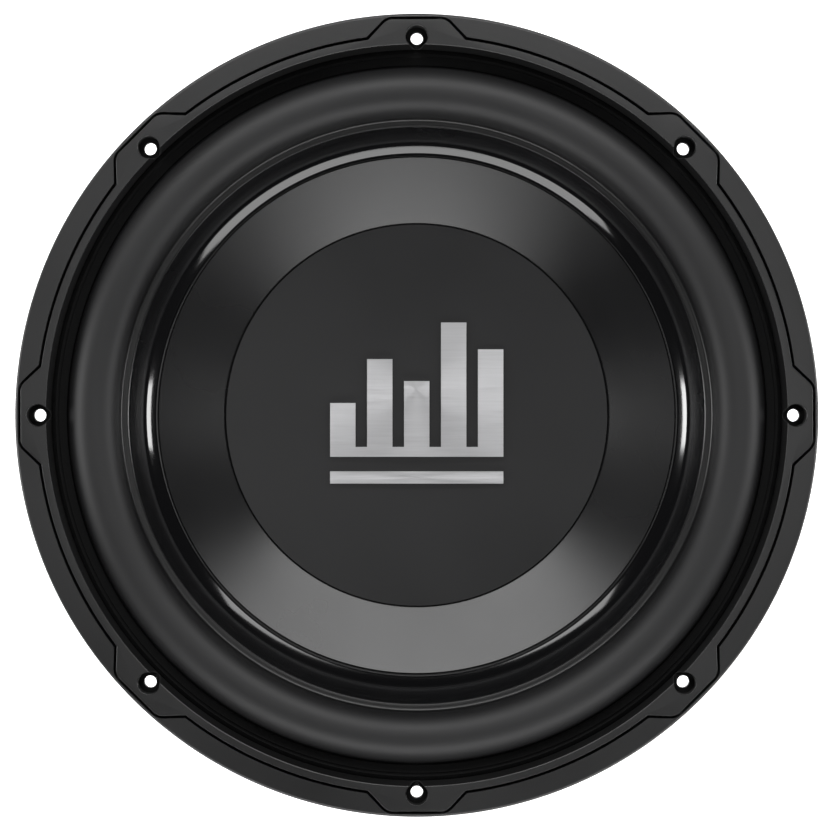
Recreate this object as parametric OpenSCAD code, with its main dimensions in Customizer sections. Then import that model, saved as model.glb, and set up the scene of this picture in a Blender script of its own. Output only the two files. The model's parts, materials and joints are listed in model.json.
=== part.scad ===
// Car subwoofer speaker, 12 inch. Origin on the axis, in the mounting plane under the basket's flange.
// +Z points out of the front, and the terminals are on the -Y side.

/* [Front] */
// Outer diameter of the outer trim ring
overall_d = 319; // [315:1:325]
// Height of both front rings above the mounting plane
ring_h = 14; // [12:1:16]
// Number of mounting screws
screw_count = 8; // [4:4:8]
// Diameter of the circle through the mounting screws
screw_circle_d = 301; // [300:0.5:302]
// Diameter of each mounting screw hole
screw_hole_d = 5; // [4.8:0.1:5.4]
// Diameter of each screw's counterbore
counterbore_d = 8.8; // [8:0.2:9.2]
// Depth of each screw's counterbore
counterbore_depth = 9.5; // [8:0.5:9.5]
// Width of the seam between the two front rings
seam_w = 1; // [0.6:0.2:1.2]
// Diameter of the mounting ring's inner top edge
mounting_ring_id = 294.2; // [293:0.2:295]

/* [Cone] */
// Radius of the middle of the surround's roll
roll_r = 128.9; // [128:0.1:129.6]
// Half width of the surround's roll
roll_half_w = 10.6; // [9.5:0.1:11]
// Thickness of the rubber
rubber_t = 1.2; // [1:0.1:1.6]
// Radius of the cone's rim
rim_r = 115.3; // [114:0.1:116]
// Slope of the cone in degrees
cone_slope = 26.6; // [24:0.2:28]
// Thickness of the cone
cone_t = 1.2; // [1:0.1:1.6]
// Radius of the dust cap
cap_r = 78; // [70:0.5:82]
// Thickness of the dust cap
cap_t = 1; // [0.8:0.1:1.2]
// Depth of the dust cap's dish
cap_dish = 4; // [3:0.5:6]

/* [Basket] */
// Diameter of the cut-out that the basket's body fits
body_d = 280; // [278:1:281]
// Thickness of the steel sheet
steel_t = 2; // [1.6:0.1:2.2]
// Outer diameter of the steel flange
flange_d = 316.6; // [316.2:0.2:317]
// Number of basket windows
window_count = 8; // [8:1:10]
// Width of each leg between two windows
leg_w = 20; // [16:1:30]

/* [Motor] */
// Outer diameter of the magnets
magnet_d = 145; // [130:1:146]
// Height of each of the two magnets
magnet_h = 17; // [15:1:18]
// Thickness of the top plate and of the back plate
plate_t = 10; // [8:1:10]
// Inner radius of the voice coil's former
former_r = 25.4; // [25.4:0.1:25.5]
// Height of the winding
coil_h = 32; // [26:1:32]
// Radius of the pole's vent
vent_r = 11; // [8:1:12]

/* [Terminals] */
// Distance between the two wire terminals
terminal_pitch = 18; // [16:1:20]
// Diameter of each push button
button_d = 8.4; // [8:0.1:8.4]
// Travel of each push button
button_travel = 3.5; // [3:0.5:3.5]
// Diameter of each wire entry
wire_hole_d = 3.2; // [2.6:0.2:3.4]

/* [Hidden] */
$fn = 96;

// Levels down the axis, from the front
flange_top = steel_t;
rubber_top = flange_top + rubber_t;
shelf_z = -66;
seat_z = -86;
plate_z = seat_z - steel_t;
magnet_z = plate_z - plate_t;
back_z = magnet_z - 2 * magnet_h;
base_z = back_z - plate_t;

// Front rings
screw_r = screw_circle_d / 2;
seam_base_r = 150.7;
seam_chord = 157.7;
lobe_half_w = 11.9;
lobe_flank = 47;
lobe_round = 6;
lobe_inner = 140;
edge_round = 0.8;
ring_drop = 0.5;
trim_lip = 0.2;

// Cone profile, as points of its front face
wall_r = 20;
wall_turn = 45;
wall_steps = 9;
wall_top = 0.3;
band_w = 3.1;
band_slope = 33;
wall_foot = wall_point(wall_turn);
band_foot = [wall_foot[0] - band_w, wall_foot[1] - band_w * tan(band_slope)];
groove_depth = 1;
groove_w = 1.8;
cone_top = [band_foot[0] - groove_w, band_foot[1] - 0.2];
neck_r = 26.1;
neck_h = 4;
cone_neck_z = cone_z(neck_r);
neck_bottom = cone_neck_z - neck_h;
seat_lip = 3.2;
glue_gap = 0.12;
rim_z = flange_top - glue_gap;

// Emblem
emblem_w = 71;
emblem_bar = 10.4;
emblem_foot = -17;
emblem_t = 3;
emblem_base_h = 4;
strip_drop = 11;
strip_h = 5;

// Basket body and its windows
spigot_z = -9;
shelf_r = 86;
seat_r = 62;
window_low_z = shelf_z + 9;
window_high_z = -15;
window_corner_r = 8;
window_low_r = 94;
window_high_r = 134;

// Voice coil
former_t = 0.4;
former_or = former_r + former_t;
coil_t = 1.5;
coil_mid = plate_z - plate_t / 2;
coil_top = coil_mid + coil_h / 2;
coil_bottom = coil_mid - coil_h / 2;
collar_t = 0.8;
collar_or = former_or + collar_t;
collar_top = neck_bottom - 0.6;
collar_bottom = coil_top + 1;

// Motor
pole_r = former_r - 0.6;
gap_r = former_or + coil_t + 0.7;
magnet_ir = 36;
seat_hole_r = 34;
motor_screws = 6;
motor_screw_r = 50;
motor_screw_d = 5;
screen_r = vent_r + 2;
screen_t = 1;

// Spider
spider_t = 0.8;
spider_land = 70;
spider_or = 78;
spider_waves = 10;
spider_ir = collar_or + glue_gap;
spider_flat = 3;
shelf_margin = 2;

// Terminals
term_y = -87;
term_x = terminal_pitch / 2;
block_w = 38;
block_in = -76;
block_out = -98;
block_top = shelf_z - steel_t;
block_bottom = block_top - 24;
bore_r = button_d / 2 + 0.1;
bore_top = block_top - 4;
wire_z = block_top - 16.5;
wire_pocket = 5.5;
wire_pocket_ease = 1.6;
button_out = block_bottom - 6;
button_shoulder = block_bottom + 12;
stem_r = 1.8;
stem_top = button_shoulder + 3;
lug_y = -82;
lug_w = 4.4;
lug_t = 0.8;
lug_top = -53.5;
tie_x = 15.4;
tie_y = -80.2;

// Tinsel leads, from the lug to the cone
lead_r = 0.9;
lead_outer = [lug_y + lug_t / 2 + lead_r, lug_top - 2];
lead_inner = [-46, -49.4];
lead_bend = 45;
eyelet_r = 2;
eyelet_h = 2;
eyelet_z = -48.5;

// Point of the curved wall inside the cone's rim, after a turn from the vertical
function wall_point(turn) = [rim_r - wall_r * (1 - cos(turn)), wall_top - wall_r * sin(turn)];

// Height of the cone's front face at a radius
function cone_z(r) = cone_top[1] - (cone_top[0] - r) * tan(cone_slope);

// Unit normal to the left of the line from a to b
function side(a, b) = [a[1] - b[1], b[0] - a[0]] / norm(b - a);

// The path moved sideways by t, with mitred corners
function beside(path, t) = [
    for (i = [0 : len(path) - 1])
        let (
            before = side(path[max(i - 1, 0)], path[max(i, 1)]),
            after = side(path[min(i, len(path) - 2)], path[min(i + 1, len(path) - 1)])
        )
        path[i] + t * (before + after) / (1 + before * after)
];

// A path with a thickness, spun about the axis; t is to the left of the path
module spun_sheet(path, t) {
    far = beside(path, t);
    rotate_extrude()
        polygon(concat(path, [for (i = [len(far) - 1 : -1 : 0]) far[i]]));
}

module ring(outer, inner, low, high) {
    rotate_extrude()
        translate([inner, low])
            square([outer - inner, high - low]);
}

// Convex outline with rounded corners, from the corner centres taken anticlockwise
module rounded(centres, r) {
    n = len(centres);
    polygon([
        for (i = [0 : n - 1])
            let (
                here = centres[i],
                last = centres[(i + n - 1) % n],
                next = centres[(i + 1) % n]
            )
            each [here - r * side(last, here), here - r * side(here, next)]
    ]);
    for (c = centres)
        translate(c)
            circle(r);
}

// The same outline, with each round as a few short flats
module eased(centres, r, steps = 4) {
    n = len(centres);
    polygon([
        for (i = [0 : n - 1])
            let (
                here = centres[i],
                last = side(centres[(i + n - 1) % n], here),
                next = side(here, centres[(i + 1) % n]),
                start = atan2(-last[1], -last[0]),
                turn = acos(last * next)
            )
            for (k = [0 : steps])
                let (a = start + turn * k / steps)
                here + r * [cos(a), sin(a)]
    ]);
}

// Places its children at each screw position
module around(count, r, first = 90) {
    for (i = [0 : count - 1])
        rotate(first + 360 * i / count)
            translate([r, 0])
                children();
}

// Plan of the mounting ring with its lobes, grown by g
module lobed_plan(g) {
    cx = lobe_half_w - lobe_round * tan(lobe_flank / 2);
    cy = seam_chord - lobe_round;
    flank = [sin(lobe_flank), cos(lobe_flank)];
    drop = (seam_chord - lobe_inner) / tan(lobe_flank);
    foot = [lobe_half_w + drop, lobe_inner] + g * flank;
    shoulder = [cx, cy] + (lobe_round + g) * flank;
    crown = [cx, seam_chord + g];
    reach = [foot[0] - 4, lobe_inner];
    circle(seam_base_r + g);
    around(screw_count, 0)
        rotate(-90) {
            intersection() {
                polygon([reach, foot, shoulder, crown, [-crown[0], crown[1]],
                    [-shoulder[0], shoulder[1]], [-foot[0], foot[1]], [-reach[0], reach[1]]]);
                translate([0, seam_base_r + 4])
                    square([60, 30], center = true);
            }
            for (s = [-1, 1])
                translate([s * cx, cy])
                    circle(lobe_round + g);
        }
}

module screw_holes() {
    around(screw_count, screw_r)
        translate([0, 0, -1])
            cylinder(d = screw_hole_d, h = ring_h + 2);
}

module outer_trim_ring() {
    r = overall_d / 2;
    color("dimgray")
        difference() {
            rotate_extrude() {
                polygon([
                    [seam_base_r - 1, flange_top], [flange_d / 2 + trim_lip, flange_top],
                    [flange_d / 2 + trim_lip, 0], [r, 0], [r, ring_h - ring_drop - edge_round],
                    [r - edge_round, ring_h - ring_drop], [seam_base_r - 1, ring_h]
                ]);
                translate([r - edge_round, ring_h - ring_drop - edge_round])
                    circle(edge_round);
            }
            translate([0, 0, -1])
                linear_extrude(ring_h + 2)
                    lobed_plan(seam_w / 2);
        }
}

module mounting_ring() {
    in_r = mounting_ring_id / 2;
    color("dimgray")
        difference() {
            translate([0, 0, flange_top])
                linear_extrude(ring_h - flange_top)
                    lobed_plan(-seam_w / 2);
            rotate_extrude()
                polygon([
                    [0, 0], [in_r + 0.2, 0], [in_r + 0.2, rubber_top],
                    [in_r - 1.1, rubber_top], [in_r, ring_h], [in_r, ring_h + 1], [0, ring_h + 1]
                ]);
            screw_holes();
            around(screw_count, screw_r)
                translate([0, 0, ring_h - counterbore_depth])
                    cylinder(d = counterbore_d, h = counterbore_depth + 1);
        }
}

module surround() {
    inner_foot = roll_r - roll_half_w;
    outer_foot = roll_r + roll_half_w;
    color([0.08, 0.08, 0.09])
        rotate_extrude() {
            translate([rim_r + 0.2, flange_top])
                square([inner_foot + rubber_t - rim_r - 0.2, rubber_t]);
            translate([outer_foot - rubber_t, flange_top])
                square([mounting_ring_id / 2 - outer_foot + rubber_t, rubber_t]);
            translate([roll_r, flange_top])
                intersection() {
                    difference() {
                        circle(roll_half_w);
                        circle(roll_half_w - rubber_t);
                    }
                    translate([-roll_half_w, 0])
                        square([2 * roll_half_w, roll_half_w]);
                }
        }
}

module cone() {
    color([0.1, 0.1, 0.11])
        spun_sheet([
            [rim_r + seat_lip, rim_z], [rim_r, rim_z],
            for (i = [0 : wall_steps]) wall_point(wall_turn * i / wall_steps),
            band_foot, [band_foot[0] - 0.5, band_foot[1] - groove_depth],
            [cone_top[0] + 0.3, band_foot[1] - groove_depth], cone_top,
            [neck_r, cone_neck_z], [neck_r, neck_bottom]
        ], cone_t);
}

// Radius of the dish's front face, and the height of its centre
dish_r = (cap_r * cap_r + cap_dish * cap_dish) / (2 * cap_dish);
dish_z = cone_z(cap_r) + cap_t + dish_r - cap_dish;

// A bed under the dish's front face, out to radius r, in flats of about 4 mm
module dish_bed(r) {
    steps = ceil(r / 4);
    low = dish_z - dish_r;
    rotate_extrude()
        polygon(concat(
            [[0, low - 5], [r, low - 5]],
            [for (i = [steps : -1 : 0])
                let (x = r * i / steps)
                [x, dish_z - sqrt(dish_r * dish_r - x * x)]]
        ));
}

module dust_cap() {
    foot = cone_z(cap_r);
    color([0.12, 0.12, 0.13])
        rotate_extrude()
            difference() {
                intersection() {
                    translate([0, dish_z])
                        circle(dish_r + cap_t, $fn = 360);
                    polygon([
                        [0, foot - 20], [cap_r - 20 / tan(cone_slope), foot - 20],
                        [cap_r, foot], [cap_r, foot + 5], [0, foot + 5]
                    ]);
                }
                translate([0, dish_z])
                    circle(dish_r, $fn = 360);
            }
}

// A flat badge of thickness emblem_t at the middle of the dish, bedded on it
module badge() {
    color("silver")
        difference() {
            translate([0, 0, dish_z - dish_r])
                linear_extrude(emblem_t)
                    children();
            dish_bed(60);
        }
}

module emblem() {
    heights = [22, 40, 31, 55, 44];
    pitch = (emblem_w - emblem_bar) / (len(heights) - 1);
    badge() {
        translate([-emblem_w / 2, emblem_foot])
            square([emblem_w, emblem_base_h]);
        for (i = [0 : len(heights) - 1])
            translate([-emblem_w / 2 + i * pitch, emblem_foot])
                square([emblem_bar, heights[i]]);
    }
}

module emblem_strip() {
    badge()
        translate([-emblem_w / 2, emblem_foot - strip_drop])
            square([emblem_w, strip_h]);
}

// One basket window, cut outwards along +X
module window_cutter() {
    reach = 180 / window_count;
    low_half = window_low_r * sin(reach - asin(leg_w / 2 / window_low_r));
    high_half = window_high_r * sin(reach - asin(leg_w / 2 / window_high_r));
    r = window_corner_r;
    rotate([90, 0, 90])
        linear_extrude(body_d / 2 + 10)
            eased([
                [-low_half + r, window_low_z + r], [low_half - r, window_low_z + r],
                [high_half - r, window_high_z - r], [-high_half + r, window_high_z - r]
            ], r);
}

module basket() {
    in_r = body_d / 2 - steel_t;
    color([0.09, 0.09, 0.1])
        difference() {
            spun_sheet([
                [flange_d / 2, flange_top], [in_r, flange_top], [in_r, spigot_z], [shelf_r, shelf_z],
                [spider_land, shelf_z], [seat_r, seat_z], [seat_hole_r, seat_z]
            ], steel_t);
            translate([0, 0, -10])
                screw_holes();
            for (i = [0 : window_count - 1])
                rotate(90 + 360 * i / window_count)
                    translate([60, 0, 0])
                        window_cutter();
            around(motor_screws, motor_screw_r)
                translate([0, 0, seat_z - 5])
                    cylinder(r = motor_screw_d / 2 + 0.3, h = 10);
            for (s = [-1, 1]) {
                translate([s * term_x, lug_y, shelf_z])
                    cube([lug_w + 1.2, 2.8, 10], center = true);
                translate([s * tie_x, tie_y, shelf_z - 5])
                    cylinder(r = 1.7, h = 10);
            }
        }
}

module coil_former() {
    color("tan")
        ring(former_or, former_r, coil_bottom - 1, cone_neck_z + 3);
}

module voice_coil() {
    color("peru")
        ring(former_or + coil_t, former_or, coil_bottom, coil_top);
}

module former_collar() {
    color("saddlebrown")
        ring(collar_or, former_or, collar_bottom, collar_top);
}

module neck_adhesive() {
    color([0.15, 0.13, 0.1])
        rotate_extrude()
            polygon([
                [former_or, cone_neck_z - 1], [neck_r, cone_neck_z - 1], [neck_r, cone_neck_z],
                [neck_r + 2, cone_z(neck_r + 2)], [former_or, cone_neck_z + 2.4]
            ]);
}

module spider() {
    wave_end = spider_land - shelf_margin;
    wave = (wave_end - spider_ir - spider_flat) / spider_waves;
    mid = shelf_z + spider_t / 2;
    color("goldenrod")
        rotate_extrude() {
            translate([spider_ir, mid - 1.6])
                square([spider_t, 3.2]);
            translate([spider_ir, shelf_z])
                square([spider_flat + spider_t / 2, spider_t]);
            translate([wave_end - spider_t / 2, shelf_z])
                square([spider_or - wave_end + spider_t / 2, spider_t]);
            for (i = [0 : spider_waves - 1])
                translate([spider_ir + spider_flat + (i + 0.5) * wave, mid])
                    intersection() {
                        difference() {
                            circle(wave / 2 + spider_t / 2);
                            circle(wave / 2 - spider_t / 2);
                        }
                        translate([-wave, i % 2 == 0 ? 0 : -wave])
                            square([2 * wave, wave]);
                    }
        }
}

module lead_eyelets() {
    color("gold")
        for (s = [-1, 1])
            translate([s * term_x, lead_inner[0] + 1, eyelet_z])
                cylinder(r = eyelet_r, h = eyelet_h);
}

// A round lead hanging between the lug and the cone, in the plane x
module tinsel(x) {
    chord = lead_inner - lead_outer;
    lean = atan2(chord[1], chord[0]);
    bend_r = norm(chord) / 2 / sin(lead_bend);
    centre = (lead_inner + lead_outer) / 2 + bend_r * cos(lead_bend) * [-sin(lean), cos(lean)];
    color("silver")
        translate([x, centre[0], centre[1]])
            rotate([90, 0, 90])
                rotate(270 + lean - lead_bend)
                    rotate_extrude(angle = 2 * lead_bend)
                        translate([bend_r, 0])
                            circle(lead_r);
}

module positive_tinsel() {
    tinsel(term_x);
}

module negative_tinsel() {
    tinsel(-term_x);
}

module top_plate() {
    color([0.2, 0.2, 0.21])
        difference() {
            ring(magnet_d / 2 - 2, gap_r, magnet_z, plate_z);
            around(motor_screws, motor_screw_r)
                translate([0, 0, magnet_z - 1])
                    cylinder(r = motor_screw_d / 2, h = plate_t + 2);
        }
}

module magnet(top) {
    bevel = 1.5;
    r = magnet_d / 2;
    color([0.16, 0.16, 0.17])
        rotate_extrude()
            polygon([
                [magnet_ir, top - magnet_h], [r - bevel, top - magnet_h], [r, top - magnet_h + bevel],
                [r, top - bevel], [r - bevel, top], [magnet_ir, top]
            ]);
}

module magnet_front() {
    magnet(magnet_z);
}

module magnet_rear() {
    magnet(magnet_z - magnet_h);
}

module yoke() {
    r = magnet_d / 2 - 2;
    bevel = 3;
    color([0.2, 0.2, 0.21])
        difference() {
            rotate_extrude()
                polygon([
                    [0, base_z], [r - bevel, base_z], [r, base_z + bevel], [r, back_z],
                    [pole_r + 3, back_z], [pole_r, back_z + 3], [pole_r, seat_z - 1],
                    [pole_r - 1, seat_z], [0, seat_z]
                ]);
            translate([0, 0, base_z - 1])
                cylinder(r = vent_r, h = 100);
            translate([0, 0, base_z - 1])
                cylinder(r = screen_r, h = screen_t + 1.5);
        }
}

module vent_screen() {
    hole_pitch = 3;
    color("gray")
        difference() {
            translate([0, 0, base_z + 0.5])
                cylinder(r = screen_r, h = screen_t);
            for (row = [-3 : 3])
                for (column = [-4 : 4]) {
                    x = (column + (row % 2 == 0 ? 0 : 0.5)) * hole_pitch;
                    y = row * hole_pitch * sin(60);
                    if (norm([x, y]) < vent_r - 1.6)
                        translate([x, y, base_z])
                            cylinder(r = 1, h = 3, $fn = 24);
                }
        }
}

module socket_screw(shank, length, head, head_h) {
    difference() {
        union() {
            translate([0, 0, -length])
                cylinder(d = shank, h = length);
            cylinder(d = head, h = head_h);
        }
        translate([0, 0, head_h - 1.4])
            cylinder(d = head * 0.5, h = 3, $fn = 6);
    }
}

module motor_screws() {
    color("gray")
        around(motor_screws, motor_screw_r)
            translate([0, 0, seat_z])
                socket_screw(motor_screw_d, steel_t + plate_t - 1, 9, 2.8);
}

module terminal_block() {
    corner = 3;
    half = block_w / 2 - corner;
    color([0.13, 0.13, 0.14])
        difference() {
            translate([0, 0, block_bottom])
                linear_extrude(block_top - block_bottom)
                    rounded([
                        [-half, block_out + corner], [half, block_out + corner],
                        [half, block_in - corner], [-half, block_in - corner]
                    ], corner);
            for (s = [-1, 1]) {
                translate([s * term_x, term_y, block_bottom - 1])
                    cylinder(r = bore_r, h = bore_top - block_bottom + 1);
                translate([s * term_x, term_y, wire_z])
                    rotate([90, 0, 0]) {
                        cylinder(d = wire_hole_d, h = 30);
                        cylinder(d = wire_hole_d + wire_pocket_ease, h = wire_pocket);
                    }
                translate([s * term_x, lug_y, block_top])
                    cube([lug_w, lug_t, 6], center = true);
                translate([s * tie_x, tie_y, block_top - 12])
                    cylinder(r = 1.2, h = 13);
            }
        }
}

module terminal_screws() {
    color("gray")
        for (s = [-1, 1])
            translate([s * tie_x, tie_y, shelf_z])
                socket_screw(2.4, steel_t + 10, 4.4, 1.8);
}

module button(x, shade) {
    color(shade)
        difference() {
            union() {
                translate([x, term_y, button_out])
                    cylinder(d = button_d, h = button_shoulder - button_out);
                translate([x, term_y, button_out])
                    cylinder(r = stem_r, h = stem_top - button_out);
            }
            translate([x, term_y + 10, wire_z - button_travel])
                rotate([90, 0, 0])
                    cylinder(d = wire_hole_d, h = 20);
        }
}

module positive_button() {
    button(term_x, "firebrick");
}

module negative_button() {
    button(-term_x, [0.05, 0.05, 0.05]);
}

// Coil spring of flat and tilted half turns
module spring(x) {
    wire = 0.4;
    r = bore_r - wire - 0.5;
    turns = 3;
    rise = (bore_top - button_shoulder - glue_gap - 2 * wire) / turns;
    tilt = asin(rise / 2 / r);
    color("lightgray")
        translate([x, term_y, button_shoulder + glue_gap + wire])
            for (i = [0 : turns]) {
                translate([0, 0, i * rise])
                    rotate_extrude(angle = i == turns ? 360 : 180)
                        translate([r, 0])
                            circle(wire, $fn = 24);
                if (i < turns)
                    translate([0, 0, (i + 0.5) * rise])
                        rotate([0, tilt, 0])
                            rotate(180)
                                rotate_extrude(angle = 180)
                                    translate([r, 0])
                                        circle(wire, $fn = 24);
            }
}

module positive_spring() {
    spring(term_x);
}

module negative_spring() {
    spring(-term_x);
}

module lug(x) {
    low = block_top - 3;
    color("gold")
        difference() {
            translate([x, lug_y, (low + lug_top) / 2])
                cube([lug_w, lug_t, lug_top - low], center = true);
            translate([x, lug_y + 3, lug_top - 5])
                rotate([90, 0, 0])
                    cylinder(r = 1, h = 6);
        }
}

module positive_lug() {
    lug(term_x);
}

module negative_lug() {
    lug(-term_x);
}

outer_trim_ring();
mounting_ring();
surround();
cone();
dust_cap();
emblem();
emblem_strip();
basket();
coil_former();
voice_coil();
former_collar();
neck_adhesive();
spider();
lead_eyelets();
positive_tinsel();
negative_tinsel();
top_plate();
magnet_front();
magnet_rear();
yoke();
vent_screen();
motor_screws();
terminal_block();
terminal_screws();
positive_button();
negative_button();
positive_spring();
negative_spring();
positive_lug();
negative_lug();
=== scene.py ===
import json
import math

import bmesh
import bpy
from mathutils import Matrix, Vector


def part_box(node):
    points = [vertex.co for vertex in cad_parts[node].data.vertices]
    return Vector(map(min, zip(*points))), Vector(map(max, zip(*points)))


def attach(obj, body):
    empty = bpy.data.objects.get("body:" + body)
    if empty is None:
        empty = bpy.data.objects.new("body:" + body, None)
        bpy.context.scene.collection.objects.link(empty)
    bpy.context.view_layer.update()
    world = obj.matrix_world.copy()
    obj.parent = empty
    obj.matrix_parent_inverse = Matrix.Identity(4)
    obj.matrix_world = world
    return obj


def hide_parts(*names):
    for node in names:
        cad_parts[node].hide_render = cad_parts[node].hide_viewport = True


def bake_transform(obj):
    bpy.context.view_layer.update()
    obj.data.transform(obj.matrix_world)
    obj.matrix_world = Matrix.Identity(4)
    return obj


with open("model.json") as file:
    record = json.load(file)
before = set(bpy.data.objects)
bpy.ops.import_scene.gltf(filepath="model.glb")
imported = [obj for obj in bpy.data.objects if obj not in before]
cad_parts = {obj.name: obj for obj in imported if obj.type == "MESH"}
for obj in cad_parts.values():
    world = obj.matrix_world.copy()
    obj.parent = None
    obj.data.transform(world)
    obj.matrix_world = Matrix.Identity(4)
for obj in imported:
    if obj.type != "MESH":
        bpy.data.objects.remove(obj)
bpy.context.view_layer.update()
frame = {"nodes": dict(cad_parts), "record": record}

MM = 0.001
TURN = 2 * math.pi

# ---------------------------------------------------------------- levels and radii, from the frame

ring_low, ring_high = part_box("mounting_ring")
trim_low, trim_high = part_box("outer_trim_ring")
flange_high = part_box("basket")[1]
surround_low, surround_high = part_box("surround")
cone_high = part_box("cone")[1]
spider_low, spider_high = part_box("spider")
collar_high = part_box("former_collar")[1]
base_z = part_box("yoke")[0].z
front_z = ring_high.z

# Front rings: screws, holes, and the seam with its eight lobes
SCREWS = 8
SCREW_R = 150.5 * MM
HOLE_R = 2.5 * MM
COUNTERBORE_R = 4.4 * MM
COUNTERBORE_DEPTH = 9.5 * MM
RING_INNER_R = 147.1 * MM
TRIM_INNER_R = 149.5 * MM
SKIRT_GAP = 0.2 * MM
BASE_R = 150.7 * MM
CHORD = 157.7 * MM
LOBE_HALF = 11.9 * MM
LOBE_ROUND = 6.0 * MM
LOBE_FLANK = math.radians(47)
SEAM = 1.0 * MM

# Cone: rim wall, band, groove and slope
RIM_R = 115.3 * MM
WALL_R = 20 * MM
WALL_TOP = 0.3 * MM
WALL_TURN = math.radians(45)
BAND_W = 3.1 * MM
BAND_SLOPE = math.radians(33)
GROOVE_W = 1.8 * MM
GROOVE_DEPTH = 1.0 * MM
CONE_SLOPE = math.radians(26.6)
CONE_T = 1.2 * MM
NECK_R = 26.1 * MM

# Surround and spider
RUBBER = 1.2 * MM
ROLL_R = 128.9 * MM
LIP_R = 115.5 * MM
ROLL_MOVES_FROM = 139.5 * MM
ROLL_MOVES_TO = 118.3 * MM
CLOTH = 0.8 * MM
COLLAR_GAP = 0.12 * MM
SPIDER_FLAT = 3 * MM
SPIDER_WAVES = 10
SPIDER_WAVE_END = 68 * MM
SPIDER_MOVES_FROM = 70 * MM
SPIDER_MOVES_TO = 30 * MM

# Leads: where the cone's eyelet holds them, and how far they bend each way
LEAD_INNER = Vector((-46, -49.4)) * MM
LEAD_BEND = math.radians(45)
LEAD_R = 0.9 * MM
SPRING_WIRE = 0.4 * MM
SPRING_TURNS = 5


# ---------------------------------------------------------------- camera

CAMERA_HEIGHT = 1.3
FRAME_WIDTH = 0.3295
SENSOR_MM = 36

camera_data = bpy.data.cameras.new("front_camera")
camera_data.sensor_width = SENSOR_MM
camera_data.lens = SENSOR_MM * CAMERA_HEIGHT / FRAME_WIDTH
camera_data.clip_end = 50
camera = bpy.data.objects.new("front_camera", camera_data)
camera.location = (-0.0005, -0.0001, front_z + CAMERA_HEIGHT)
bpy.context.scene.collection.objects.link(camera)
bpy.context.scene.camera = camera


# ---------------------------------------------------------------- materials

class Finish:
    """A node material with object-space detail, built up by small steps."""

    def __init__(self, name, color, roughness, metallic=0.0, specular=0.5):
        self.material = bpy.data.materials.new(name)
        self.material.use_nodes = True
        self.nodes = self.material.node_tree.nodes
        self.links = self.material.node_tree.links
        self.shader = self.nodes["Principled BSDF"]
        self.color = color
        self.roughness = roughness
        self.shader.inputs["Base Color"].default_value = (*color, 1)
        self.shader.inputs["Roughness"].default_value = roughness
        self.shader.inputs["Metallic"].default_value = metallic
        self.shader.inputs["Specular IOR Level"].default_value = specular
        self.place = self.nodes.new("ShaderNodeTexCoord").outputs["Object"]
        self.height = None

    def noise(self, scale, detail=3.0, stretch=(1, 1, 1), place=None):
        mapping = self.nodes.new("ShaderNodeMapping")
        mapping.inputs["Scale"].default_value = stretch
        self.links.new(place or self.place, mapping.inputs["Vector"])
        texture = self.nodes.new("ShaderNodeTexNoise")
        texture.inputs["Scale"].default_value = scale
        texture.inputs["Detail"].default_value = detail
        self.links.new(mapping.outputs["Vector"], texture.inputs["Vector"])
        return texture.outputs["Fac"]

    def math(self, operation, a, b=None):
        node = self.nodes.new("ShaderNodeMath")
        node.operation = operation
        for socket, value in zip(node.inputs, (a, b)):
            if value is None:
                continue
            if isinstance(value, (int, float)):
                socket.default_value = value
            else:
                self.links.new(value, socket)
        return node.outputs[0]

    def spread(self, value, low, high, start=0.3, stop=0.7):
        node = self.nodes.new("ShaderNodeMapRange")
        node.inputs["From Min"].default_value = start
        node.inputs["From Max"].default_value = stop
        node.inputs["To Min"].default_value = low
        node.inputs["To Max"].default_value = high
        self.links.new(value, node.inputs["Value"])
        return node.outputs["Result"]

    def split(self):
        node = self.nodes.new("ShaderNodeSeparateXYZ")
        self.links.new(self.place, node.inputs["Vector"])
        return node.outputs["X"], node.outputs["Y"], node.outputs["Z"]

    def radius(self):
        x, y, z = self.split()
        return self.math("SQRT", self.math("ADD", self.math("MULTIPLY", x, x), self.math("MULTIPLY", y, y)))

    def angle(self):
        x, y, z = self.split()
        return self.math("ARCTAN2", y, x)

    def waves(self, value, pitch):
        """A smooth ripple from 0 to 1, once every pitch of value."""
        turned = self.math("MULTIPLY", value, TURN / pitch)
        return self.math("MULTIPLY_ADD", self.math("SINE", turned), 0.5)

    def tint(self, value, dark, light):
        node = self.nodes.new("ShaderNodeMix")
        node.data_type = "RGBA"
        node.inputs["A"].default_value = (*[c * dark for c in self.color], 1)
        node.inputs["B"].default_value = (*[min(1, c * light) for c in self.color], 1)
        self.links.new(value, node.inputs["Factor"])
        self.links.new(node.outputs["Result"], self.shader.inputs["Base Color"])

    def rough(self, value, low, high, start=0.3, stop=0.7):
        self.links.new(self.spread(value, low, high, start, stop), self.shader.inputs["Roughness"])

    def bump(self, value, depth_mm, strength=1.0):
        node = self.nodes.new("ShaderNodeBump")
        node.inputs["Distance"].default_value = depth_mm * MM
        node.inputs["Strength"].default_value = strength
        self.links.new(value, node.inputs["Height"])
        if self.height is not None:
            self.links.new(self.height, node.inputs["Normal"])
        self.height = node.outputs["Normal"]
        self.links.new(self.height, self.shader.inputs["Normal"])


def moulded_plastic(name, color, roughness, grain_mm=0.35, depth_mm=0.004, specular=0.5):
    finish = Finish(name, color, roughness, specular=specular)
    grain = finish.noise(1 / (grain_mm * MM), detail=2)
    cloud = finish.noise(14, detail=4)
    finish.tint(cloud, 0.85, 1.2)
    finish.rough(cloud, roughness - 0.04, roughness + 0.05)
    finish.bump(grain, depth_mm)
    return finish


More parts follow.
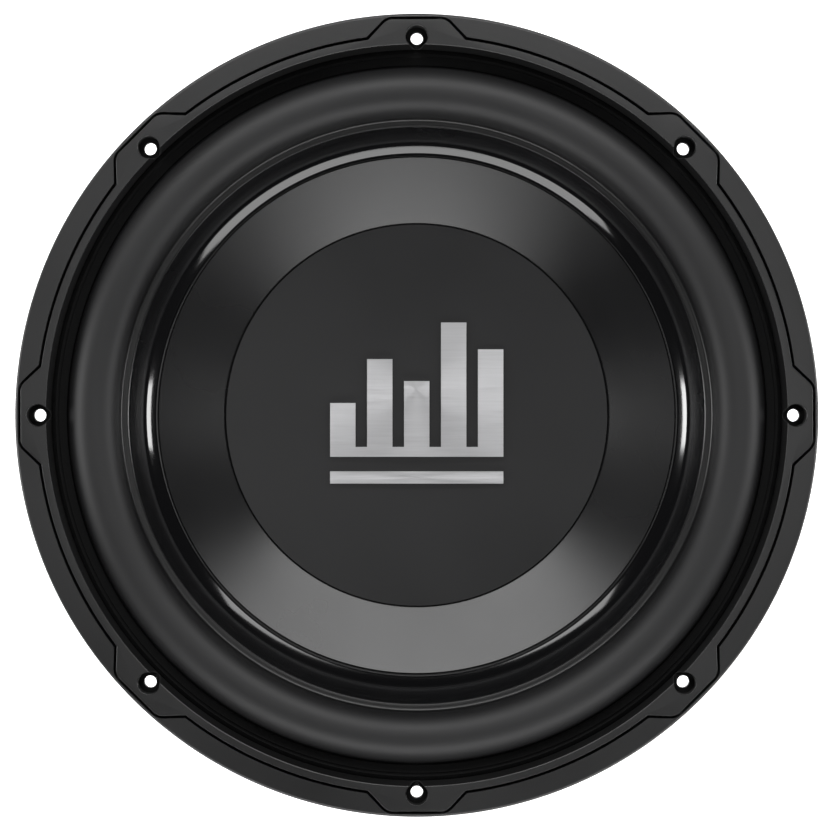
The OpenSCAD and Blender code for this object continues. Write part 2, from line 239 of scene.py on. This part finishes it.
def front_plastic():
    """Fine-grained plastic of the two front rings, made duller down in the screw holes, with painted shade
    darkening it there.
    """
    finish = Finish("ring_plastic", (0.009, 0.009, 0.0092), 0.38, specular=0.6)
    cloud = finish.noise(14, detail=4)
    pitch = TURN / SCREWS
    ahead = finish.math("ADD", finish.angle(), TURN + pitch / 2)
    fold = finish.math("SUBTRACT", finish.math("MODULO", ahead, pitch), pitch / 2)
    radius = finish.radius()
    along = finish.math("SUBTRACT", finish.math("MULTIPLY", radius, finish.math("COSINE", fold)), SCREW_R)
    across = finish.math("MULTIPLY", radius, finish.math("SINE", fold))
    from_screw = finish.math("SQRT", finish.math("ADD", finish.math("MULTIPLY", along, along),
                                                 finish.math("MULTIPLY", across, across)))
    deep = finish.spread(finish.split()[2], 1.0, 0.0, 0.0118, 0.0136)
    # Painted shade: the colour is darkened down in the counterbores and screw holes, where shade falls; the
    # same mask also makes them duller.
    hole_shade = finish.math("MULTIPLY", deep, finish.spread(from_screw, 1.0, 0.0, 0.0045, 0.0047))
    outside_hole_shade = finish.math("SUBTRACT", 1.0, hole_shade)
    finish.tint(finish.math("MULTIPLY", finish.spread(cloud, 0.7, 1.0), outside_hole_shade), 0.05, 1.2)
    dull = finish.math("MULTIPLY_ADD", hole_shade, 0.55)
    finish.links.new(finish.spread(cloud, 0.35, 0.42), dull.node.inputs[2])
    finish.links.new(dull, finish.shader.inputs["Roughness"])
    finish.bump(finish.noise(1 / (0.35 * MM), detail=2), 0.004)
    return finish


def cone_plastic():
    """Moulded cone: polished on the rim band, satin with faint turning marks on the slope."""
    finish = Finish("cone_poly", (0.004, 0.004, 0.0044), 0.25)
    cloud = finish.noise(14, detail=4)
    radius = finish.radius()
    band = finish.math("MULTIPLY", finish.spread(radius, 0.0, 1.0, 0.1053, 0.1060),
                       finish.spread(radius, 1.0, 0.0, 0.1100, 0.1125))
    finish.tint(cloud, 0.85, 1.2)
    satin = finish.spread(cloud, 0.24, 0.29)
    finish.links.new(finish.math("SUBTRACT", satin, finish.math("MULTIPLY", band, 0.18)),
                     finish.shader.inputs["Roughness"])
    finish.bump(finish.noise(1 / (0.5 * MM), detail=2), 0.003)
    finish.bump(finish.waves(radius, 0.0009), 0.0004)
    return finish


ring_plastic = front_plastic()
cone_poly = cone_plastic()
terminal_plastic = moulded_plastic("terminal_plastic", (0.022, 0.022, 0.023), 0.5)
red_plastic = moulded_plastic("button_red", (0.42, 0.012, 0.012), 0.3, depth_mm=0.002)
black_plastic = moulded_plastic("button_black", (0.018, 0.018, 0.018), 0.3, depth_mm=0.002)

cap_poly = moulded_plastic("cap_poly", (0.0075, 0.0075, 0.008), 0.32, grain_mm=0.5, depth_mm=0.003)


def rubber():
    """Dull moulded rubber, smoother on the flange outside the roll, where painted shade makes it much darker,
    and darker on the inner flange.
    """
    finish = Finish("surround_rubber", (0.0065, 0.0065, 0.007), 0.5, specular=0.5)
    skin = finish.noise(1400, detail=3)
    bloom = finish.noise(22, detail=5)
    roll = finish.math("MULTIPLY", finish.spread(finish.radius(), 1.0, 0.0, 0.1382, 0.1396),
                       finish.spread(finish.radius(), 0.35, 1.0, 0.1180, 0.1215))
    # Painted shade: the colour drops to a tenth outside the roll, down in the trough beside the front ring;
    # it is also darker on the inner flange.
    finish.tint(finish.math("MULTIPLY", finish.spread(bloom, 0.7, 1.0), roll), 0.1, 1.2)
    finish.rough(finish.math("MULTIPLY", finish.spread(bloom, 0.88, 1.0), roll), 0.24, 0.54, 0, 1)
    finish.bump(skin, 0.006)
    return finish


def brushed_badge():
    finish = Finish("emblem_metal", (0.54, 0.54, 0.55), 0.42, metallic=0.9)
    lines = finish.noise(2200, detail=3, stretch=(0.03, 1, 1))
    finish.tint(lines, 0.84, 1.12)
    finish.rough(lines, 0.42, 0.58)
    finish.bump(lines, 0.003)
    finish.shader.inputs["Anisotropic"].default_value = 0.6
    return finish


def powder_coat():
    finish = Finish("basket_paint", (0.020, 0.020, 0.021), 0.42)
    peel = finish.noise(900, detail=2)
    cloud = finish.noise(18, detail=4)
    finish.tint(cloud, 0.85, 1.25)
    finish.rough(cloud, 0.36, 0.5)
    finish.bump(peel, 0.02)
    return finish


def turned_steel():
    finish = Finish("motor_steel", (0.014, 0.014, 0.015), 0.4, metallic=0.2, specular=0.4)
    rings = finish.waves(finish.radius(), 0.0012)
    cloud = finish.noise(30, detail=5)
    finish.tint(cloud, 0.75, 1.4)
    finish.rough(cloud, 0.28, 0.48)
    finish.bump(rings, 0.02)
    return finish


def sintered_ferrite():
    finish = Finish("ferrite", (0.022, 0.022, 0.0235), 0.6, specular=0.3)
    grit = finish.noise(1100, detail=6)
    marks = finish.noise(120, detail=5, stretch=(1, 1, 0.2))
    finish.tint(marks, 0.7, 1.35)
    finish.rough(marks, 0.52, 0.72)
    finish.bump(grit, 0.03)
    return finish


def wound_copper():
    finish = Finish("copper_wire", (0.60, 0.20, 0.08), 0.3, metallic=1.0)
    x, y, z = finish.split()
    turns = finish.waves(z, 0.0005)
    # Painted shade: the copper is darker in the grooves between the turns, with a little painted highlight on
    # their crests, following the same waves as the bump.
    finish.tint(turns, 0.45, 1.2)
    finish.rough(finish.noise(60), 0.25, 0.4)
    finish.bump(turns, 0.12)
    return finish


def woven_cloth():
    finish = Finish("spider_cloth", (0.50, 0.33, 0.12), 0.75)
    x, y, z = finish.split()
    weft = finish.waves(x, 0.0011)
    warp = finish.waves(y, 0.0011)
    weave = finish.math("MULTIPLY", weft, warp)
    # Painted shade: the cloth is darker in the hollows between the threads, with a little painted highlight
    # where they cross, following the same weave as the bump.
    finish.tint(weave, 0.55, 1.3)
    finish.bump(weave, 0.12)
    finish.shader.inputs["Sheen Weight"].default_value = 0.15
    return finish


def metal(name, color, roughness, scale=250, metallic=1.0):
    finish = Finish(name, color, roughness, metallic=metallic)
    marks = finish.noise(scale, detail=5)
    finish.tint(marks, 0.75, 1.2)
    finish.rough(marks, roughness - 0.08, roughness + 0.12)
    finish.bump(marks, 0.008)
    return finish


def fibre_paper():
    finish = Finish("collar_paper", (0.30, 0.19, 0.10), 0.8)
    fibres = finish.noise(900, detail=5, stretch=(1, 1, 3))
    finish.tint(fibres, 0.65, 1.3)
    finish.bump(fibres, 0.03)
    return finish


def cured_adhesive():
    finish = Finish("adhesive", (0.035, 0.026, 0.016), 0.25)
    lumps = finish.noise(260, detail=3)
    finish.tint(lumps, 0.7, 1.3)
    finish.bump(lumps, 0.1)
    return finish


surround_rubber = rubber()
emblem_metal = brushed_badge()
basket_paint = powder_coat()
motor_steel = turned_steel()
ferrite = sintered_ferrite()
copper_wire = wound_copper()
spider_cloth = woven_cloth()
former_metal = metal("former_metal", (0.62, 0.52, 0.36), 0.35)
terminal_brass = metal("terminal_brass", (0.72, 0.52, 0.22), 0.3)
tinsel_braid = metal("tinsel_braid", (0.66, 0.46, 0.34), 0.35, scale=1500)
screen_steel = metal("screen_steel", (0.03, 0.03, 0.03), 0.5, metallic=0.4)
screw_steel = metal("screw_steel", (0.30, 0.30, 0.31), 0.35)
spring_steel = metal("spring_steel", (0.55, 0.55, 0.57), 0.25)
collar_paper = fibre_paper()
adhesive = cured_adhesive()

finishes = {
    "ring_plastic": ring_plastic,
    "surround_rubber": surround_rubber,
    "cone_poly": cone_poly,
    "cap_poly": cap_poly,
    "emblem_metal": emblem_metal,
    "basket_paint": basket_paint,
    "former_metal": former_metal,
    "copper_wire": copper_wire,
    "collar_paper": collar_paper,
    "adhesive": adhesive,
    "spider_cloth": spider_cloth,
    "terminal_brass": terminal_brass,
    "tinsel_braid": tinsel_braid,
    "motor_steel": motor_steel,
    "ferrite": ferrite,
    "screen_steel": screen_steel,
    "screw_steel": screw_steel,
    "terminal_plastic": terminal_plastic,
    "button_red": red_plastic,
    "button_black": black_plastic,
    "spring_steel": spring_steel,
}

for row in frame["record"]["subparts"]:
    node = frame["nodes"][row["node"]]
    node.data.materials.clear()
    node.data.materials.append(finishes[row["material_slot"]].material)


# ---------------------------------------------------------------- mesh helpers

def finished(name, mesh_bm, slot, smooth=True):
    """Turns a bmesh into a linked piece with the finish of a material slot."""
    mesh = bpy.data.meshes.new(name)
    mesh_bm.to_mesh(mesh)
    mesh_bm.free()
    piece = bpy.data.objects.new(name, mesh)
    bpy.context.scene.collection.objects.link(piece)
    mesh.materials.append(finishes[slot].material)
    for face in mesh.polygons:
        face.use_smooth = smooth
    return piece


def spun(outline, steps=192):
    """Spins a closed outline of (radius, height) points about the axis of the speaker."""
    bm = bmesh.new()
    verts = [bm.verts.new((r, 0, z)) for r, z in outline]
    edges = [bm.edges.new((verts[i - 1], verts[i])) for i in range(len(verts))]
    bmesh.ops.spin(
        bm, geom=verts + edges, cent=(0, 0, 0), axis=(0, 0, 1),
        angle=TURN, steps=steps, use_merge=True, use_duplicate=False,
    )
    bmesh.ops.remove_doubles(bm, verts=bm.verts, dist=1e-6)
    bmesh.ops.recalc_face_normals(bm, faces=bm.faces)
    return bm


def bend_by(piece, weight):
    """Bakes a piece's transform into its mesh and works out each point's share from weight(point); the shares
    are not used.
    """
    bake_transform(piece)
    shares = [weight(v.co) for v in piece.data.vertices]


def ease(t):
    t = max(0.0, min(1.0, t))
    return t * t * (3 - 2 * t)


def loft(outlines):
    """A closed solid through (points, height) outlines of the same number of points."""
    bm = bmesh.new()
    rings = []
    for points, z in outlines:
        verts = [bm.verts.new((x, y, z)) for x, y in points]
        rings.append([bm.edges.new((verts[i - 1], verts[i])) for i in range(len(verts))])
    for lower, upper in zip(rings, rings[1:]):
        bmesh.ops.bridge_loops(bm, edges=lower + upper)
    for end in (rings[0], rings[-1]):
        bmesh.ops.contextual_create(bm, geom=end)
    bmesh.ops.recalc_face_normals(bm, faces=bm.faces)
    return bm


def eased(outline, away, top, size, steps=4):
    """Rows of a rounded top edge; outline(d) gives the outline, and away is which way it moves."""
    rows = []
    for k in range(steps + 1):
        a = math.pi / 2 * k / steps
        rows.append((outline(away * size * (1 - math.cos(a))), top - size * (1 - math.sin(a))))
    return rows


# ---------------------------------------------------------------- front rings

def lobed(grow):
    """Outline of the seam between the two rings, moved outwards by grow."""
    normal = Vector((math.sin(LOBE_FLANK), math.cos(LOBE_FLANK)))
    along = Vector((normal.y, -normal.x))
    centre = Vector((LOBE_HALF - LOBE_ROUND * math.tan(LOBE_FLANK / 2), CHORD - LOBE_ROUND))
    shoulder = centre + normal * (LOBE_ROUND + grow)
    base = BASE_R + grow
    lean = shoulder.dot(along)
    drop = -lean - math.sqrt(lean * lean - shoulder.dot(shoulder) + base * base)
    foot = shoulder + along * drop
    side = []
    for k in range(7):
        a = LOBE_FLANK * k / 6
        side.append(centre + Vector((math.sin(a), math.cos(a))) * (LOBE_ROUND + grow))
    side.append((shoulder + foot) / 2)
    start = math.atan2(foot.x, foot.y)
    stop = TURN / SCREWS / 2
    for k in range(13):
        a = start + (stop - start) * k / 12
        side.append(Vector((math.sin(a), math.cos(a))) * base)
    half = [(p.x, p.y) for p in side]
    section = [(-x, y) for x, y in half[:0:-1]] + half[:-1]
    points = []
    for i in range(SCREWS):
        c, s = math.cos(-TURN * i / SCREWS), math.sin(-TURN * i / SCREWS)
        points += [(x * c - y * s, x * s + y * c) for x, y in section]
    return points


def bore_cutter(profile):
    """Spins a closed (radius, height) profile and sets a copy at each screw."""
    bm = spun(profile, steps=48)
    bmesh.ops.translate(bm, verts=bm.verts, vec=(0, SCREW_R, 0))
    first = list(bm.verts) + list(bm.edges) + list(bm.faces)
    for i in range(1, SCREWS):
        copy = bmesh.ops.duplicate(bm, geom=first)["geom"]
        turned = [v for v in copy if isinstance(v, bmesh.types.BMVert)]
        bmesh.ops.rotate(bm, verts=turned, cent=(0, 0, 0), matrix=Matrix.Rotation(TURN * i / SCREWS, 3, "Z"))
    return bm


def cut(bm, cutter_bm):
    """Cuts one closed mesh out of another."""
    holders = []
    for name, source in (("solid", bm), ("cutter", cutter_bm)):
        mesh = bpy.data.meshes.new(name)
        source.to_mesh(mesh)
        source.free()
        holder = bpy.data.objects.new(name, mesh)
        bpy.context.scene.collection.objects.link(holder)
        holders.append(holder)
    solid, cutter = holders
    difference = solid.modifiers.new("cut", "BOOLEAN")
    difference.operation = "DIFFERENCE"
    difference.solver = "EXACT"
    difference.object = cutter
    depsgraph = bpy.context.evaluated_depsgraph_get()
    mesh = bpy.data.meshes.new_from_object(solid.evaluated_get(depsgraph))
    result = bmesh.new()
    result.from_mesh(mesh)
    bpy.data.meshes.remove(mesh)
    for holder in holders:
        bpy.data.objects.remove(holder)
    bmesh.ops.recalc_face_normals(result, faces=result.faces)
    return result


def sharpened(piece, degrees=16):
    piece.data.set_sharp_from_angle(angle=math.radians(degrees))
    return piece


def mounting_ring():
    """Inner ring with its lobes, eased top edges, leaning bore and counterbored holes."""
    low, top = ring_low.z, ring_high.z
    inner = RING_INNER_R
    seat = surround_low.z + RUBBER
    floor_z = top - COUNTERBORE_DEPTH
    blank = loft([(lobed(-SEAM / 2), low)] + eased(lambda d: lobed(d - SEAM / 2), -1, top, 0.45 * MM))
    ring = cut(blank, spun([
        (0, low - MM), (inner + 0.2 * MM, low - MM), (inner + 0.2 * MM, seat), (inner - 0.9 * MM, seat),
        (inner - 1.1 * MM, seat + 0.25 * MM), (inner - 0.1 * MM, top - 0.35 * MM),
        (inner + 0.05 * MM, top - 0.12 * MM), (inner + 0.3 * MM, top + 0.02 * MM),
        (inner + 0.3 * MM, top + MM), (0, top + MM),
    ], steps=384))
    return cut(ring, bore_cutter([
        (0, low - MM), (HOLE_R, low - MM), (HOLE_R, floor_z), (COUNTERBORE_R, floor_z),
        (COUNTERBORE_R, top - 0.25 * MM), (COUNTERBORE_R + 0.4 * MM, top + 0.15 * MM),
        (COUNTERBORE_R + 0.4 * MM, top + MM), (0, top + MM),
    ]))


def trim_ring():
    """Outer ring whose top slopes down a little to a rounded outer edge."""
    low, top = trim_low.z, trim_high.z
    outer = trim_high.x
    skirt = flange_high.x + SKIRT_GAP
    rise = flange_high.z
    fall = 0.5 * MM
    edge_r = 1.2 * MM
    rim = []
    for k in range(9):
        a = math.pi / 16 * k
        rim.append((outer - (1 - math.cos(a)) * edge_r, top - fall - (1 - math.sin(a)) * edge_r))
    section = [(TRIM_INNER_R, rise), (skirt, rise), (skirt, low), (outer, low)] + rim + [(TRIM_INNER_R, top)]
    blank = spun(section, steps=384)
    seam = loft([(lobed(SEAM / 2), low - MM)] + eased(lambda d: lobed(SEAM / 2 + d), 1, top, 0.4 * MM)
                + [(lobed(SEAM / 2 + 0.4 * MM), top + MM)])
    return cut(blank, seam)


for name, builder, node_name in (
    ("eased_mounting_ring", mounting_ring, "mounting_ring"),
    ("eased_trim_ring", trim_ring, "outer_trim_ring"),
):
    ring_piece = sharpened(finished(name, builder(), "ring_plastic"))
    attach(ring_piece, "frame")
    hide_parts(node_name)


# ---------------------------------------------------------------- cone

def cone_profile():
    """Front face of the cone from the rim to the neck: curved wall, rim band, groove and slope."""
    rim_z = cone_high.z
    path = [(RIM_R + 3.2 * MM, rim_z), (RIM_R + 0.25 * MM, rim_z), (RIM_R, rim_z - 0.2 * MM)]
    steps = 24
    for k in range(steps + 1):
        a = WALL_TURN * k / steps
        path.append((RIM_R - WALL_R * (1 - math.cos(a)), WALL_TOP - WALL_R * math.sin(a)))
    foot = Vector(path[-1])
    band = Vector((-BAND_W, -BAND_W * math.tan(BAND_SLOPE)))
    end = foot + band
    for k in range(1, 9):
        p = foot + band * k / 8
        path.append((p.x, p.y - 0.05 * MM * math.sin(math.pi * k / 8)))
    depth = GROOVE_DEPTH
    path += [(end.x - 0.12 * MM, end.y - 0.25 * MM), (end.x - 0.45 * MM, end.y - 0.85 * depth),
             (end.x - 0.8 * MM, end.y - depth), (end.x - 1.2 * MM, end.y - depth),
             (end.x - 1.5 * MM, end.y - 0.85 * depth), (end.x - 1.7 * MM, end.y - 0.45 * MM)]
    top = Vector((end.x - GROOVE_W, end.y - 0.2 * MM))
    slope = math.tan(CONE_SLOPE)
    for k in range(13):
        r = top.x + (NECK_R - top.x) * k / 12
        path.append((r, top.y - (top.x - r) * slope))
    path.append((NECK_R, path[-1][1] - 4 * MM))
    return path


def sheet(path, thick):
    """Closed outline of a sheet whose front face follows a path of (radius, height) points."""
    back = []
    for i, here in enumerate(path):
        before = Vector(here) - Vector(path[max(i - 1, 0)])
        after = Vector(path[min(i + 1, len(path) - 1)]) - Vector(here)
        sides = [Vector((-v.y, v.x)).normalized() for v in (before, after) if v.length > 0]
        mean = sum(sides, Vector((0, 0))).normalized()
        stretch = 1 / max(0.4, mean.dot(sides[0]))
        p = Vector(here) + mean * thick * stretch
        back.append((p.x, p.y))
    return path + back[::-1]


cone = sharpened(finished("moulded_cone", spun(sheet(cone_profile(), CONE_T), steps=256), "cone_poly"), 24)
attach(cone, "moving_cone")
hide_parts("cone")


# ---------------------------------------------------------------- surround

def surround_outline():
    """Rubber section: outer flange, half roll, inner flange."""
    flange_z = surround_low.z + RUBBER
    outer_r = surround_high.x
    roll_top = surround_high.z
    half = roll_top - surround_low.z
    upper = [(outer_r, flange_z - 0.2 * MM), (ROLL_R + half + 0.4 * MM, flange_z - 0.2 * MM)]
    steps = 40
    for k in range(steps + 1):
        a = math.pi * (0.06 + 0.88 * k / steps)
        upper.append((ROLL_R + half * math.cos(a), surround_low.z + half * math.sin(a)))
    upper.append((ROLL_R - half - 0.6 * MM, flange_z + 0.1 * MM))
    upper.append((ROLL_R - half - 1.5 * MM, flange_z))
    upper.append((LIP_R + 0.2 * MM, flange_z))
    upper.append((LIP_R, flange_z - 0.2 * MM))
    lower = [(LIP_R, surround_low.z), (ROLL_R - half + RUBBER, surround_low.z)]
    for k in range(steps + 1):
        a = math.pi * (0.98 - 0.96 * k / steps)
        lower.append((ROLL_R + (half - RUBBER) * math.cos(a), surround_low.z + (half - RUBBER) * math.sin(a)))
    lower.append((outer_r, surround_low.z))
    return upper + lower


def flange_outline():
    """Outline of a thin sheet laid on the surround's outer flange, with two fine ridges."""
    low = surround_low.z + RUBBER - 0.22 * MM
    top = surround_low.z + RUBBER - 0.06 * MM
    inner, outer = 139.7 * MM, surround_high.x - 0.1 * MM
    path = [(outer, low), (outer, top)]
    for ridge_r in (144.4 * MM, 142.9 * MM):
        for k in range(7):
            t = k / 6
            path.append((ridge_r + 0.6 * MM * (0.5 - t), top + 0.12 * MM * math.sin(math.pi * t)))
    return path + [(inner + 0.3 * MM, top), (inner, low)]


# Painted shade: a near-black, low-sheen finish for the sheet over the outer flange, down in the trough where
# shade falls.
def painted_shade_strip():
    finish = Finish("flange_painted_shade", (0.0022, 0.0022, 0.0023), 0.6, specular=0.12)
    dust = finish.noise(600, detail=5)
    finish.tint(dust, 0.7, 1.5)
    finish.rough(dust, 0.5, 0.7)
    finish.bump(dust, 0.01)
    return finish


# A thin sheet over the surround's outer flange, with its two ridges and painted shade.
shaded_flange_sheet = finished(
    "shaded_flange_sheet", spun(flange_outline(), steps=240), "surround_rubber")
shaded_flange_sheet.data.materials[0] = painted_shade_strip().material
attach(shaded_flange_sheet, "frame")

surround = finished("rubber_surround", spun(surround_outline(), steps=240), "surround_rubber")


def surround_share(p):
    r = math.hypot(p.x, p.y)
    return ease((ROLL_MOVES_FROM - r) / (ROLL_MOVES_FROM - ROLL_MOVES_TO))


bend_by(surround, surround_share)
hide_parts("surround")


# ---------------------------------------------------------------- spider

def spider_outline():
    """Corrugated cloth with an upturned inner neck and a flat outer landing."""
    inner = collar_high.x + COLLAR_GAP
    wave_start = inner + SPIDER_FLAT
    outer = spider_high.x
    mid = (spider_low.z + spider_high.z) / 2
    swing = 2.0 * MM
    steps = SPIDER_WAVES * 10
    line = [(inner + CLOTH / 2, mid + 1.6 * MM), (inner + CLOTH / 2, mid + 0.6 * MM), (inner + 0.9 * MM, mid)]
    for k in range(steps + 1):
        t = k / steps
        line.append((wave_start + (SPIDER_WAVE_END - wave_start) * t,
                     mid + swing * math.sin(math.pi * SPIDER_WAVES * t)))
    line.append((outer, mid))
    above = []
    below = []
    for i, (r, z) in enumerate(line):
        before = Vector(line[max(i - 1, 0)])
        after = Vector(line[min(i + 1, len(line) - 1)])
        along = (after - before).normalized()
        across = Vector((-along.y, along.x)) * CLOTH / 2
        above.append((r + across.x, z + across.y))
        below.append((r - across.x, z - across.y))
    return above + below[::-1]


spider = finished("corrugated_spider", spun(spider_outline(), steps=192), "spider_cloth")


def spider_share(p):
    r = math.hypot(p.x, p.y)
    return ease((SPIDER_MOVES_FROM - r) / (SPIDER_MOVES_FROM - SPIDER_MOVES_TO))


bend_by(spider, spider_share)
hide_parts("spider")


# ---------------------------------------------------------------- wires and springs

def wire_mesh(strands, radius, sides=3):
    """Joins round wires, one for each list of points, into one mesh."""
    curve = bpy.data.curves.new("wire", "CURVE")
    curve.dimensions = "3D"
    curve.bevel_depth = radius
    curve.bevel_resolution = sides
    curve.use_fill_caps = True
    for points in strands:
        spline = curve.splines.new("POLY")
        spline.points.add(len(points) - 1)
        for knot, p in zip(spline.points, points):
            knot.co = (*p, 1)
    holder = bpy.data.objects.new("wire", curve)
    bpy.context.scene.collection.objects.link(holder)
    depsgraph = bpy.context.evaluated_depsgraph_get()
    mesh = bpy.data.meshes.new_from_object(holder.evaluated_get(depsgraph))
    bm = bmesh.new()
    bm.from_mesh(mesh)
    bpy.data.objects.remove(holder)
    bpy.data.meshes.remove(mesh)
    bmesh.ops.recalc_face_normals(bm, faces=bm.faces)
    return bm


def lead(pole_name):
    """A braided lead that hangs from the terminal's lug to the eyelet under the cone."""
    lug_low, lug_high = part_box(pole_name + "_lug")
    solid_low, solid_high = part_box(pole_name + "_tinsel")
    x = (solid_low.x + solid_high.x) / 2
    outer = Vector((lug_high.y + LEAD_R, lug_high.z - 2 * MM))
    inner = LEAD_INNER
    chord = inner - outer
    bend = LEAD_BEND
    radius = chord.length / 2 / math.sin(bend)
    up = Vector((-chord.y, chord.x)).normalized()
    centre = (inner + outer) / 2 + up * radius * math.cos(bend)
    strands = []
    steps = 90
    for direction in (-1, 1):
        for strand in range(5):
            points = []
            for k in range(steps + 1):
                t = k / steps
                a = math.atan2(chord.y, chord.x) - math.pi / 2 - bend + 2 * bend * t
                twist = direction * (t * 9 * TURN) + strand * TURN / 5
                lift = 0.62 * MM + direction * 0.06 * MM * math.cos(5 * twist)
                r = radius + lift * math.cos(twist)
                points.append((
                    x + lift * math.sin(twist),
                    centre.x + r * math.cos(a),
                    centre.y + r * math.sin(a),
                ))
            strands.append(points)
    piece = finished(pole_name + "_braided_lead", wire_mesh(strands, 0.2 * MM, sides=1), "tinsel_braid")
    span = inner.x - outer.x
    bend_by(piece, lambda p: ease((p.y - outer.x) / span))
    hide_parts(pole_name + "_tinsel")


def return_spring(pole_name):
    """A coil spring between the terminal's bore end and the button's shoulder."""
    low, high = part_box(pole_name + "_spring")
    x = (low.x + high.x) / 2
    y = (low.y + high.y) / 2
    wire = SPRING_WIRE
    r = (high.x - low.x) / 2 - wire
    lift = high.z - low.z - 2 * wire
    flat_turns = 0.9
    steps = SPRING_TURNS * 24
    points = []
    for k in range(steps + 1):
        turned = k / steps * SPRING_TURNS
        share = (turned - flat_turns) / (SPRING_TURNS - 2 * flat_turns)
        climb = ease(share) * 0.4 + max(0, min(1, share)) * 0.6
        a = turned * TURN
        points.append((x + r * math.cos(a), y + r * math.sin(a), low.z + wire + lift * climb))
    piece = finished(pole_name + "_coil_spring", wire_mesh([points], wire, sides=3), "spring_steel")
    bend_by(piece, lambda p: (high.z - p.z) / (high.z - low.z))
    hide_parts(pole_name + "_spring")


for pole_name in ("positive", "negative"):
    lead(pole_name)
    return_spring(pole_name)


# ---------------------------------------------------------------- floor and light

def pale_floor():
    bm = bmesh.new()
    bmesh.ops.create_grid(bm, x_segments=1, y_segments=1, size=6)
    bmesh.ops.translate(bm, verts=bm.verts, vec=(0, 0, base_z - 0.0002))
    mesh = bpy.data.meshes.new("floor")
    bm.to_mesh(mesh)
    bm.free()
    floor = bpy.data.objects.new("floor", mesh)
    bpy.context.scene.collection.objects.link(floor)
    paper = Finish("floor_paper", (0.9, 0.9, 0.9), 0.8)
    paper.tint(paper.noise(3), 0.98, 1.02)
    paper.shader.inputs["Emission Color"].default_value = (1, 1, 1, 1)
    paper.shader.inputs["Emission Strength"].default_value = 0.9
    clear = paper.nodes.new("ShaderNodeBsdfTransparent")
    from_below = paper.nodes.new("ShaderNodeMixShader")
    paper.links.new(paper.nodes.new("ShaderNodeNewGeometry").outputs["Backfacing"], from_below.inputs["Fac"])
    paper.links.new(paper.shader.outputs["BSDF"], from_below.inputs[1])
    paper.links.new(clear.outputs["BSDF"], from_below.inputs[2])
    paper.links.new(from_below.outputs["Shader"], paper.nodes["Material Output"].inputs["Surface"])
    mesh.materials.append(paper.material)


def softbox(name, power, off_axis, around, width, height):
    """An area light that faces the speaker, off_axis degrees from its axis, at an angle around it."""
    data = bpy.data.lights.new(name, "AREA")
    data.shape = "RECTANGLE"
    data.size = width
    data.size_y = height
    data.energy = power
    light = bpy.data.objects.new(name, data)
    a = math.radians(off_axis)
    b = math.radians(around)
    aim = Vector((math.sin(a) * math.cos(b), math.sin(a) * math.sin(b), math.cos(a)))
    light.location = aim * LIGHT_DISTANCE
    light.rotation_euler = aim.to_track_quat("Z", "Y").to_euler()
    bpy.context.scene.collection.objects.link(light)


pale_floor()
LIGHT_DISTANCE = 1.5
softbox("top_softbox", 21, 45, 90, 2.4, 0.46)
softbox("bottom_softbox", 22, 55, 274, 2.7, 0.46)
softbox("left_strip", 8, 66, 180, 0.34, 0.34)
softbox("right_strip", 6.5, 66, 0, 0.34, 0.34)
softbox("left_fill", 0.7, 15, 180, 0.3, 0.5)
softbox("right_fill", 1.1, 15, 0, 0.3, 0.5)
softbox("overhead", 1.1, 19, 90, 0.9, 0.3)

world = bpy.data.worlds.new("studio")
world.use_nodes = True
backdrop = world.node_tree.nodes["Background"]
backdrop.inputs["Color"].default_value = (0.9, 0.9, 0.9, 1)
backdrop.inputs["Strength"].default_value = 0.02
bpy.context.scene.world = world
bpy.context.scene.view_settings.view_transform = "Standard"
